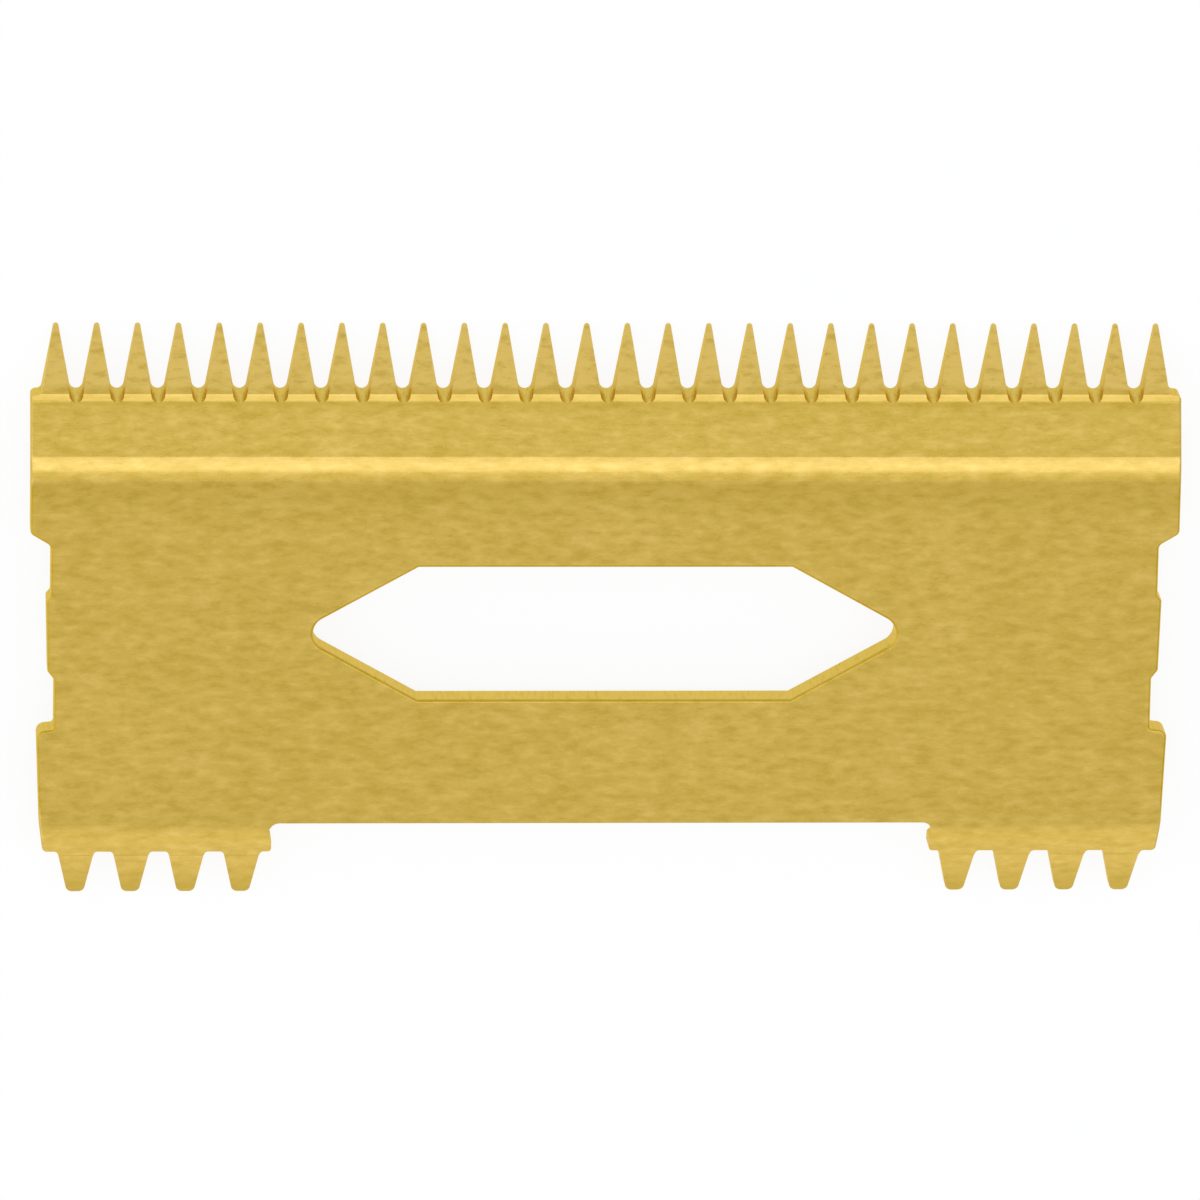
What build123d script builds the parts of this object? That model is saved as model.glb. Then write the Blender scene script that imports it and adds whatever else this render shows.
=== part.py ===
from build123d import *
from math import cos, radians, sin, tan
import os

# Moving cutter of a hair clipper: one sheet of steel, toothed in front and bent down at both ends.
# It rests on its ground underside at Z = 0, the tooth row runs along X and the teeth point along +Y.

# Sheet
sheet = 1.0                  # thickness of the steel
lift = 0.7                   # underside of the flat body above the ground faces
edge_round = 0.1             # rolled edge along the stamped outline, on top
slot_round = 0.12            # rolled edge round the drive slot, on top

# Cutting comb
tooth_count = 28
tooth_pitch = 1.346
cut_lean = radians(13.3)     # the gullets lean back towards the top, which leaves the run-outs
flank_angle = radians(10.72)  # each flank from the tooth's middle line, square to the cut
tip_radius = 0.093
gullet_radius = 0.226
tip_thickness = 0.15
taper_length = 2.18          # tips back to the front of the land
end_margin = 0.829           # middle of the last tooth to the side of the blade

# Front lip
lip_angle = radians(18)
lip_bend = 2.58              # radius on the outside of the bend
lip_run = 2.317              # gullet floor back to the corner of the bend
land_angle = radians(12.5)
land_length = 0.235
land_radius = 1.0

# Body outline, lengths run from front to rear and insets are taken from the side of the lip
plate_depth = 15.56          # gullet floor to the rear edge of the feet
lip_side = 4.548             # gullet floor to the front notch
front_notch_wall = 0.404
front_notch_floor = 1.717
front_notch_inset = 0.674
bump_step = 0.158
bump_length = 2.425
bump_front_inset = 0.53
bump_rear_inset = 0.583
rear_notch_step = 0.279
rear_notch_floor = 1.721
rear_notch_inset = 0.80
ledge_slope = 0.063
foot_front_inset = 0.225
foot_rear_inset = 0.335      # where the recess between the feet begins
foot_draft = radians(7)      # the sides of the feet narrow from there to the rear
notch_radius = 0.22
bump_radius = 0.12
foot_radius = 0.28
foot_end_radius = 0.18

# Drive slot
slot_setback = 7.956         # gullet floor to the middle of the slot
slot_width = 4.533
slot_flat = 12.37
slot_angle = radians(29.3)   # pointed ends, from the long axis
slot_tip_radius = 0.55

# Rear feet
recess_width = 21.91
recess_depth = 1.054
relief_length = 0.52         # the inner side of each foot is set back at the bend
relief_bulge = 0.095
relief_radius = 0.36
foot_bend_setback = 0.05     # recess edge to the start of the bend
foot_angle = radians(25)
foot_bend = 1.9              # radius on the outside of the bend
peg_pitch = 1.8335           # each foot has as many pegs as it has room for
peg_length = 1.65
peg_root_width = 1.23
peg_angle = radians(11.6)    # each side of a peg from its middle line
peg_inner_margin = 0.97      # middle of the first peg to the inner side of the foot
peg_outer_margin = 1.0       # middle of the last peg to the outer side of the foot, at least
peg_end_radius = 0.22
peg_root_radius = 0.14
peg_step = 0.12              # the pegs are pressed thinner on top
peg_step_run = 0.06

# Places that follow from the sizes
top = lift + sheet
flank_reach = 1 / sin(flank_angle) - 1
cut_depth = tooth_pitch / 2 / tan(flank_angle) - (tip_radius + gullet_radius) * flank_reach
tooth_depth = cut_depth / cos(cut_lean)
half_depth = (tooth_depth + plate_depth + peg_length) / 2
half_width = (tooth_count - 1) * tooth_pitch / 2 + end_margin
y_tip = half_depth
y_gullet = y_tip - tooth_depth
y_rear = y_gullet - plate_depth
y_end = -half_depth
y_recess = y_rear + recess_depth
y_slot = y_gullet - slot_setback
half_recess = recess_width / 2
half_foot = half_width - foot_rear_inset
half_rear = half_foot - recess_depth * tan(foot_draft)

# Sheet bent down at both ends and ground flat underneath
overrun = sheet
y_lip = y_gullet - lip_run
y_lip_under = y_lip - sheet * tan(lip_angle / 2)
y_heel = y_lip_under + lift / tan(lip_angle)
y_foot = y_recess - foot_bend_setback - foot_bend * tan(foot_angle / 2)
y_foot_under = y_foot + sheet * tan(foot_angle / 2)
y_sole = y_foot_under - lift / tan(foot_angle)
y_land_front = y_tip - taper_length
y_land_rear = y_land_front - land_length
z_land_rear = top - (y_land_rear - y_lip) * tan(lip_angle)
z_land_front = z_land_rear - land_length * tan(land_angle)
z_front = z_land_rear - (y_tip - y_land_rear) * tan(land_angle)
z_rear = top - (y_foot - y_end) * tan(foot_angle)
section = FilletPolyline(
    (y_tip, z_front),
    (y_land_rear, z_land_rear),
    (y_lip, top),
    (y_foot, top),
    (y_end, z_rear),
    (y_end, 0),
    (y_sole, 0),
    (y_foot_under, lift),
    (y_lip_under, lift),
    (y_heel, 0),
    (y_tip, 0),
    radius=[0, land_radius, lip_bend, foot_bend, 0, 0, 0, foot_bend - sheet, lip_bend - sheet, 0, 0],
    close=True,
)
bent_sheet = extrude(make_face(Plane.YZ * section), half_width + overrun, both=True)

# Outline of the body with its side notches and feet, one half and its mirror image
y_notch = y_gullet - lip_side
y_floor = y_notch - front_notch_wall
y_bump_foot = y_floor - front_notch_floor
y_bump = y_bump_foot - bump_step
y_bump_end = y_bump - bump_length
y_rear_notch = y_bump_end - rear_notch_step
y_ledge = y_rear_notch - rear_notch_floor
y_foot_front = y_ledge - ledge_slope
y_relief = y_recess - relief_length - relief_bulge
y_blank = y_end - overrun
half_blank = half_foot - (y_recess - y_blank) * tan(foot_draft)
half_outline = FilletPolyline(
    (0, y_tip + overrun),
    (half_width, y_tip + overrun),
    (half_width, y_notch),
    (half_width - front_notch_inset, y_floor),
    (half_width - front_notch_inset, y_bump_foot),
    (half_width - bump_front_inset, y_bump),
    (half_width - bump_rear_inset, y_bump_end),
    (half_width - rear_notch_inset, y_rear_notch),
    (half_width - rear_notch_inset, y_ledge),
    (half_width - foot_front_inset, y_foot_front),
    (half_foot, y_recess),
    (half_blank, y_blank),
    (half_recess, y_blank),
    (half_recess, y_relief),
    (half_recess + relief_bulge, y_recess - relief_length),
    (half_recess + relief_bulge, y_recess),
    (0, y_recess),
    radius=[0, 0, notch_radius, notch_radius, bump_radius, bump_radius, bump_radius, bump_radius,
            bump_radius, foot_radius, 0, 0, 0, bump_radius, bump_radius,
            relief_radius, 0],
    close=True,
)
half_plate = make_face(half_outline)
blank = extrude(half_plate + mirror(half_plate, Plane.YZ), top) & bent_sheet

# Rolled edge along both sides, from the lip over the notches to the feet
skin = blank.faces().filter_by(lambda face: face.normal_at().Z > sin(foot_angle))
x_side = half_width - 2 * rear_notch_inset
side_edges = [edge for face in skin for edge in face.edges() if abs((edge @ 0.5).X) > x_side]
blank = fillet(side_edges, edge_round)

# Drive slot with pointed ends and a rolled rim
slot_point = slot_flat / 2 + slot_width / 2 / tan(slot_angle)
slot_outline = FilletPolyline(
    (-slot_flat / 2, slot_width / 2),
    (slot_flat / 2, slot_width / 2),
    (slot_point, 0),
    (slot_flat / 2, -slot_width / 2),
    (-slot_flat / 2, -slot_width / 2),
    (-slot_point, 0),
    radius=[0, 0, slot_tip_radius, 0, 0, slot_tip_radius],
    close=True,
)
blank -= extrude(Pos(0, y_slot) * make_face(slot_outline), top)
body_top = blank.faces().sort_by(Axis.Z)[-1]
blank = fillet(body_top.inner_wires()[0].edges(), slot_round)

# Pegs on the rear feet, set out from the inner side of each foot; what lies between them is cut away
peg_room = half_rear - half_recess - peg_inner_margin - peg_outer_margin
peg_count = 1 + int(peg_room / peg_pitch)
peg_end_width = peg_root_width - 2 * peg_length * tan(peg_angle)
foot_points = [(0, y_relief), (half_recess, y_relief), (half_recess, y_rear)]
foot_radii = [0, 0, bump_radius]
for i in range(peg_count):
    x_peg = half_recess + peg_inner_margin + i * peg_pitch
    foot_points.append((x_peg - peg_root_width / 2, y_rear))
    foot_points.append((x_peg - peg_end_width / 2, y_end))
    foot_points.append((x_peg + peg_end_width / 2, y_end))
    foot_points.append((x_peg + peg_root_width / 2, y_rear))
    foot_radii += [peg_root_radius, peg_end_radius, peg_end_radius, peg_root_radius]
foot_points += [(half_rear, y_rear), (half_foot, y_recess), (half_width, y_recess)]
foot_radii += [foot_end_radius, 0, 0]
foot_points += [(half_width, y_blank), (0, y_blank)]
foot_radii += [0, 0]
half_waste = make_face(FilletPolyline(*foot_points, radius=foot_radii, close=True))
rear_waste = extrude(half_waste + mirror(half_waste, Plane.YZ), top)

# The pegs are pressed thinner on top, behind a step
y_step = y_rear - peg_root_radius
y_press = y_step - peg_step_run
z_step = top - (y_foot - y_step) * tan(foot_angle)
z_press = top - (y_foot - y_press) * tan(foot_angle) - peg_step
press_line = Polyline(
    (y_step, z_step),
    (y_press, z_press),
    (y_blank, z_press - (y_press - y_blank) * tan(foot_angle)),
    (y_blank, top),
    (y_step, top),
    close=True,
)
press_waste = extrude(make_face(Plane.YZ * press_line), half_width, both=True)

# Comb of teeth in front, drawn square to the leaning cut, so that the gullets run out on top of the lip
apex = cut_depth + tip_radius * flank_reach
x_last = (tooth_count - 1) * tooth_pitch / 2
flank_foot = apex * tan(flank_angle)
shoulder_radius = (end_margin - flank_foot) / 2
x_clear = half_width + overrun
y_clear = apex + overrun
x_flank = x_last + (apex + shoulder_radius) * tan(flank_angle)
comb_points = [(-x_clear, y_clear), (-x_clear, -shoulder_radius), (-x_flank, -shoulder_radius)]
comb_radii = [0, 0, 0]
for i in range(tooth_count):
    x_tooth = i * tooth_pitch - x_last
    if i > 0:
        comb_points.append((x_tooth - tooth_pitch / 2, -gullet_radius * flank_reach))
        comb_radii.append(gullet_radius)
    comb_points.append((x_tooth, apex))
    comb_radii.append(tip_radius)
comb_points += [(x_flank, -shoulder_radius), (x_clear, -shoulder_radius), (x_clear, y_clear)]
comb_radii += [0, 0, 0]
comb_face = make_face(FilletPolyline(*comb_points, radius=comb_radii, close=True))
cut_plane = Plane((0, y_gullet, 0), x_dir=(1, 0, 0), z_dir=(0, -sin(cut_lean), cos(cut_lean)))
front_waste = extrude(cut_plane * comb_face, 2 * top, both=True)

# Upright shoulders outside the last teeth, rounded at the side and into the flank
half_shoulder = make_face(FilletPolyline(
    (x_last, y_gullet),
    (half_width, y_gullet),
    (half_width, y_gullet - 2 * overrun),
    (x_last, y_gullet - 2 * overrun),
    radius=[0, shoulder_radius, 0, 0],
    close=True,
))
front_waste -= extrude(half_shoulder + mirror(half_shoulder, Plane.YZ), 3 * top, both=True)
x_corner = x_last + flank_foot + shoulder_radius / 2
corners = front_waste.edges().filter_by(lambda edge: x_last < abs((edge @ 0.5).X) < x_corner)
corners = corners.filter_by(lambda edge: abs((edge @ 0.5).Y - y_gullet) < tip_radius)
corners = corners.filter_by(lambda edge: abs((edge @ 0.5).Z) < 2 * top)
front_waste = fillet(corners, shoulder_radius)

# Teeth ground to a taper on top, from the narrow land to the tips
grind_line = Polyline(
    (y_land_front, z_land_front),
    (y_tip, tip_thickness),
    (y_tip + overrun, tip_thickness),
    (y_tip + overrun, top),
    (y_land_front, top),
    close=True,
)
grind_waste = extrude(make_face(Plane.YZ * grind_line), half_width + overrun, both=True)

# The blade
cutter_blade = blank - rear_waste - press_waste - front_waste - grind_waste
cutter_blade.label = "cutter_blade"

os.makedirs("parts", exist_ok=True)
export_step(cutter_blade, "parts/cutter_blade.step")
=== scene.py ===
import math
import bpy
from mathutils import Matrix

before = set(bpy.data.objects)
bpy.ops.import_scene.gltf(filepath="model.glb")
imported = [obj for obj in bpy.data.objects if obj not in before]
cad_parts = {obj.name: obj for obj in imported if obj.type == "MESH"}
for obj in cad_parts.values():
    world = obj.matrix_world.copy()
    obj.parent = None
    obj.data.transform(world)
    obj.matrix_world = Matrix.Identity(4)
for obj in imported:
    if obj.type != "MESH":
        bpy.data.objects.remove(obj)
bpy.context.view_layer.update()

# Cutter blade: one sheet of spring steel, stamped, bent down at both ends and ground along the teeth.
# It is brushed along the tooth row and coated gold under a thin clear lacquer on top;
# the sheared walls stay rougher, with shear marks, and the ground faces underneath are finer.
# Its gold also carries painted light and shade: the walls and the tapered teeth are painted paler,
# and the gold behind the fold, on the land, on the pegs and on the rims is darkened as painted shade.
GOLD = (0.508, 0.340, 0.038, 1)
PALE_GOLD_AND_PAINTED_LIGHT = (0.605, 0.420, 0.080, 1)
DEEP_GOLD_AND_PAINTED_SHADE = (0.415, 0.270, 0.010, 1)
# The walls' paler gold is partly their own sheared finish and partly painted light.
SHEARED_GOLD_AND_PAINTED_LIGHT = (0.73, 0.565, 0.145, 1)
EDGE_GOLD = (1.0, 0.82, 0.42, 1)
BAND_EDGE = 0.0002
MIX_UNDER = 6
MIX_OVER = 7
MIX_COLOUR = 2


class Field:
    """A value that changes over a surface: one output socket, with the arithmetic that adds nodes."""

    def __init__(self, tree, socket=None):
        self.tree = tree
        self.socket = socket

    def node(self, kind, settings, inputs, output=0):
        """A new node in the same tree, as the value of one of its outputs."""
        made = self.tree.nodes.new(kind)
        for name, value in settings.items():
            setattr(made, name, value)
        for name, value in inputs.items():
            if isinstance(value, Field):
                self.tree.links.new(value.socket, made.inputs[name])
            else:
                made.inputs[name].default_value = value
        return Field(self.tree, made.outputs[output])

    def maths(self, operation, first, second):
        return self.node("ShaderNodeMath", {"operation": operation}, {0: first, 1: second})

    def __add__(self, other):
        return self.maths("ADD", self, other)

    def __radd__(self, other):
        return self.maths("ADD", other, self)

    def __sub__(self, other):
        return self.maths("SUBTRACT", self, other)

    def __rsub__(self, other):
        return self.maths("SUBTRACT", other, self)

    def __mul__(self, other):
        return self.maths("MULTIPLY", self, other)

    def __rmul__(self, other):
        return self.maths("MULTIPLY", other, self)

    def rise(self, low, high):
        """Nought below low, one above high, smooth between them."""
        inputs = {"Value": self, "From Min": low, "From Max": high}
        return self.node("ShaderNodeMapRange", {"interpolation_type": "SMOOTHSTEP"}, inputs)

    def fall(self, low, high):
        """One below low, nought above high, smooth between them."""
        return 1 - self.rise(low, high)

    def ramp(self, low, high):
        """Grows from nought at low towards high, and drops back within a narrow edge there."""
        return self.rise(low, high) * self.fall(high - BAND_EDGE, high)

    def band(self, low, high):
        """One from low to high, with a narrow edge outside them."""
        return self.rise(low - BAND_EDGE, low) * self.fall(high, high + BAND_EDGE)

    def lay(self, over, under):
        """One colour laid over another, by this share; the node's sockets for colours go by number."""
        inputs = {0: self, MIX_UNDER: under, MIX_OVER: over}
        return self.node("ShaderNodeMix", {"data_type": "RGBA"}, inputs, MIX_COLOUR)

    def feed(self, shader, name):
        """Leads this value into a named socket of a shader."""
        self.tree.links.new(self.socket, shader.inputs[name])


coated_steel = bpy.data.materials.new("gold_coated_brushed_steel")
coated_steel.use_nodes = True
steel_tree = coated_steel.node_tree
skin = steel_tree.nodes["Principled BSDF"]
steel = Field(steel_tree)
place = steel.node("ShaderNodeTexCoord", {}, {}, "Object")
facing = steel.node("ShaderNodeTexCoord", {}, {}, "Normal")
upward = facing.node("ShaderNodeSeparateXYZ", {}, {"Vector": facing}, "Z")
forward = place.node("ShaderNodeSeparateXYZ", {}, {"Vector": place}, "Y")

# Marks in the metal, each by its length along X, Y and Z in metres
STREAK = (0.00066, 0.00027, 0.00027)
SCRATCH = (0.0016, 0.00009, 0.00009)
CLOUD = (0.0035, 0.0035, 0.0035)
SHEAR_MARK = (0.00006, 0.00006, 0.0009)
GRAIN_DETAIL = 3.0
GRAIN_ROUGHNESS = 0.65


def grain(spread):
    """Soft noise, drawn out as far along each axis as the spread says."""
    scale = [1 / length for length in spread]
    drawn = place.node("ShaderNodeMapping", {}, {"Vector": place, "Scale": scale})
    return drawn.node(
        "ShaderNodeTexNoise", {"noise_dimensions": "3D"},
        {"Vector": drawn, "Scale": 1.0, "Detail": GRAIN_DETAIL, "Roughness": GRAIN_ROUGHNESS},
    )


streaks = grain(STREAK)
scratches = grain(SCRATCH)
clouds = grain(CLOUD)
shear_marks = grain(SHEAR_MARK)

# Faces told apart by how far they turn upward: ground underneath, sheared at the sides
UNDERSIDE = (-0.85, -0.7)
WALL = (0.30, 0.85)
ground = upward.fall(*UNDERSIDE)
sheared = upward.fall(*WALL) * (1 - ground)

# Stretches told apart by how far forward they lie, in metres, and the rolled rims of the flat body
FOLD = (0.0032, 0.0048)
LAND = (0.0068, 0.0076)
TAPER = (0.0076, 0.0079)
PEGS = (-0.0096, -0.0084)
BODY = (-0.0064, 0.0045)
RIM_FOOT = (0.6, 0.85)
RIM_TOP = (0.96, 0.999)
# Painted shade: the gold just behind the front fold is darkened.
painted_fold_shade = forward.ramp(*FOLD)
# Painted shade: the land and the strip just behind it are darkened.
painted_land_shade = forward.ramp(*LAND)
# Painted light: the tapered teeth are painted paler.
painted_taper_light = forward.rise(*TAPER)
# Painted shade: the pegs are darkened.
painted_peg_shade = forward.fall(*PEGS)
# The rolled rims are rougher and less lacquered, and their gold is darkened as painted shade.
rim = forward.band(*BODY) * upward.rise(*RIM_FOOT) * upward.fall(*RIM_TOP)

# Paler and deeper gold, by the share that each mark and stretch adds:
# the streaks and clouds are the metal's own tone, the paler taper is painted light,
# and the deeper fold, land, pegs and rims are painted shade
PALE_STREAK = (0.48, 0.72)
PALE_STREAK_SHARE = 0.65
PALE_CLOUD = (0.45, 0.75)
PALE_CLOUD_SHARE = 0.25
PAINTED_TAPER_LIGHT_SHARE = 0.8
DEEP_STREAK = (0.30, 0.52)
DEEP_STREAK_SHARE = 0.6
PAINTED_FOLD_SHADE_SHARE = 0.45
PAINTED_LAND_SHADE_SHARE = 0.8
PAINTED_PEG_SHADE_SHARE = 0.8
PAINTED_RIM_SHADE_SHARE = 0.6
SHEARED_MARK = (0.1, 0.55)
pale_grain_and_painted_light = (
    streaks.rise(*PALE_STREAK) * PALE_STREAK_SHARE
    + clouds.rise(*PALE_CLOUD) * PALE_CLOUD_SHARE
    + painted_taper_light * PAINTED_TAPER_LIGHT_SHARE
)
deep_grain_and_painted_shade = (
    streaks.fall(*DEEP_STREAK) * DEEP_STREAK_SHARE
    + painted_fold_shade * PAINTED_FOLD_SHADE_SHARE
    + painted_land_shade * PAINTED_LAND_SHADE_SHARE
    + painted_peg_shade * PAINTED_PEG_SHADE_SHARE
    + rim * PAINTED_RIM_SHADE_SHARE
)
gold = deep_grain_and_painted_shade.lay(DEEP_GOLD_AND_PAINTED_SHADE, pale_grain_and_painted_light.lay(PALE_GOLD_AND_PAINTED_LIGHT, GOLD))
# The walls are laid paler with their shear marks: partly their sheared finish, partly painted light.
sheared_and_painted_light = sheared * shear_marks.rise(*SHEARED_MARK)
sheared_and_painted_light.lay(SHEARED_GOLD_AND_PAINTED_LIGHT, gold).feed(skin, "Base Color")
skin.inputs["Metallic"].default_value = 1.0
skin.inputs["Specular Tint"].default_value = EDGE_GOLD

# Roughness of the brushed top, and what each mark and face adds to it or takes off
BRUSHED = 0.23
SCRATCH_ADDS = 0.06
STREAK_ADDS = 0.04
RIM_ADDS = 0.2
WALL_ADDS = 0.06
SHEAR_MARK_ADDS = 0.12
GROUND_TAKES = 0.06
worn = BRUSHED + SCRATCH_ADDS * scratches + STREAK_ADDS * streaks + RIM_ADDS * rim
torn = (WALL_ADDS + SHEAR_MARK_ADDS * shear_marks) * sheared
(worn + torn - GROUND_TAKES * ground).feed(skin, "Roughness")

# Lacquer on the faces that look up, thinned on the rims
LACQUER = 0.9
LACQUER_ROUGHNESS = 0.12
LACQUERED = (0.35, 0.75)
(LACQUER * upward.rise(*LACQUERED) * (1 - rim)).feed(skin, "Coat Weight")
skin.inputs["Coat Roughness"].default_value = LACQUER_ROUGHNESS

# Shallow relief of the brushing
RELIEF_OF_STREAKS = 0.6
RELIEF_OF_SCRATCHES = 0.4
RELIEF_STRENGTH = 0.12
RELIEF_DEPTH = 0.00002
relief = streaks * RELIEF_OF_STREAKS + scratches * RELIEF_OF_SCRATCHES
bump = relief.node(
    "ShaderNodeBump", {}, {"Strength": RELIEF_STRENGTH, "Distance": RELIEF_DEPTH, "Height": relief}
)
bump.feed(skin, "Normal")

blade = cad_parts["cutter_blade"]
blade.data.materials.clear()
blade.data.materials.append(coated_steel)

# Floor: a plain sheet of white paper that the blade lies on, wide enough for every view.
# It is matt, with most of its white seen straight, and it keeps a faint shadow round the blade.
FLOOR_RADIUS = 1.5
FLOOR_SIDES = 128
FLOOR_DROP = 0.00002
PAPER = (0.93, 0.93, 0.93, 1)
WHITE = (1, 1, 1, 1)
PAPER_GLOW = 0.9

bpy.ops.object.select_all(action="DESELECT")
bpy.ops.mesh.primitive_circle_add(
    vertices=FLOOR_SIDES, radius=FLOOR_RADIUS, fill_type="NGON", location=(0, 0, -FLOOR_DROP)
)
floor = bpy.context.object
floor.name = "paper_floor"
bpy.ops.object.transform_apply(location=True)
paper = bpy.data.materials.new("white_paper")
paper.use_nodes = True
paper_tree = paper.node_tree
paper_tree.nodes.clear()
fibre = Field(paper_tree)


def seen_straight(first):
    """One for rays from the camera and for those off a glossy surface or through a clear one."""
    rays = first.tree.nodes.new("ShaderNodeLightPath").outputs
    seen = Field(first.tree, rays["Is Camera Ray"])
    mirrored = Field(first.tree, rays["Is Glossy Ray"])
    let_through = Field(first.tree, rays["Is Transmission Ray"])
    return first.maths("MINIMUM", seen + mirrored + let_through, 1.0)


matt = fibre.node("ShaderNodeBsdfDiffuse", {}, {"Color": PAPER})
glow = fibre.node("ShaderNodeEmission", {}, {"Color": WHITE, "Strength": 1.0})
sheet = fibre.node("ShaderNodeMixShader", {}, {0: seen_straight(fibre) * PAPER_GLOW, 1: matt, 2: glow})
sheet.feed(paper_tree.nodes.new("ShaderNodeOutputMaterial"), "Surface")
floor.data.materials.append(paper)

# Studio: white walls all round, with three soft boxes hung in front of them.
# One is overhead on the tooth side, one low behind the feet and one low on the left.
ROOM_LIGHT = 0.75
LAMP_DISTANCE = 0.6
LAMP_WIDTH = 1.4
COOL_LIGHT = (0.94, 1.0, 1.4)
PLAIN_LIGHT = (1.0, 1.0, 1.0)

world = bpy.data.worlds.new("white_studio")
bpy.context.scene.world = world
world.use_nodes = True
world_tree = world.node_tree
backing = world_tree.nodes["Background"]
backing.inputs["Color"].default_value = WHITE
(ROOM_LIGHT + seen_straight(Field(world_tree)) * (1 - ROOM_LIGHT)).feed(backing, "Strength")


def soft_lamp(name, heading, low, high, level, colour):
    """A soft box that spans two angles from straight above; heading 0 is the tooth side, 90 the left."""
    turn = math.radians(heading)
    lean = math.radians((low + high) / 2)
    out = LAMP_DISTANCE * math.sin(lean)
    spot = (-out * math.sin(turn), out * math.cos(turn), LAMP_DISTANCE * math.cos(lean))
    bpy.ops.object.select_all(action="DESELECT")
    bpy.ops.object.light_add(type="AREA", location=spot, rotation=(-lean, 0, turn))
    lamp = bpy.context.object
    lamp.name = name
    lamp.data.shape = "RECTANGLE"
    lamp.data.size = LAMP_WIDTH
    lamp.data.size_y = 2 * LAMP_DISTANCE * math.tan(math.radians(high - low) / 2)
    lamp.data.energy = level * math.pi * lamp.data.size * lamp.data.size_y
    lamp.data.color = colour


soft_lamp("overhead_lamp", heading=0, low=-1, high=15, level=1.45, colour=COOL_LIGHT)
soft_lamp("rear_lamp", heading=180, low=26, high=80, level=0.35, colour=PLAIN_LIGHT)
soft_lamp("left_lamp", heading=90, low=45, high=85, level=0.45, colour=PLAIN_LIGHT)

# Camera: a long lens above the blade, leaning towards the teeth and a little to the left.
# The teeth point up in the picture, and the walls that face forward in the slot and the gullets just show.
CAMERA_PLACE = (-0.0282, 0.120905, 0.416947)
CAMERA_TURN = (-0.282318, -0.062282, 0.017616)
LENS = 393.4
FILM_WIDTH = 36
NEAREST = 0.01
FARTHEST = 10

bpy.ops.object.select_all(action="DESELECT")
bpy.ops.object.camera_add(location=CAMERA_PLACE, rotation=CAMERA_TURN)
camera = bpy.context.object
camera.name = "camera_above"
camera.data.sensor_width = FILM_WIDTH
camera.data.lens = LENS
camera.data.clip_start = NEAREST
camera.data.clip_end = FARTHEST
bpy.context.scene.camera = camera
bpy.context.scene.view_settings.view_transform = "Standard"
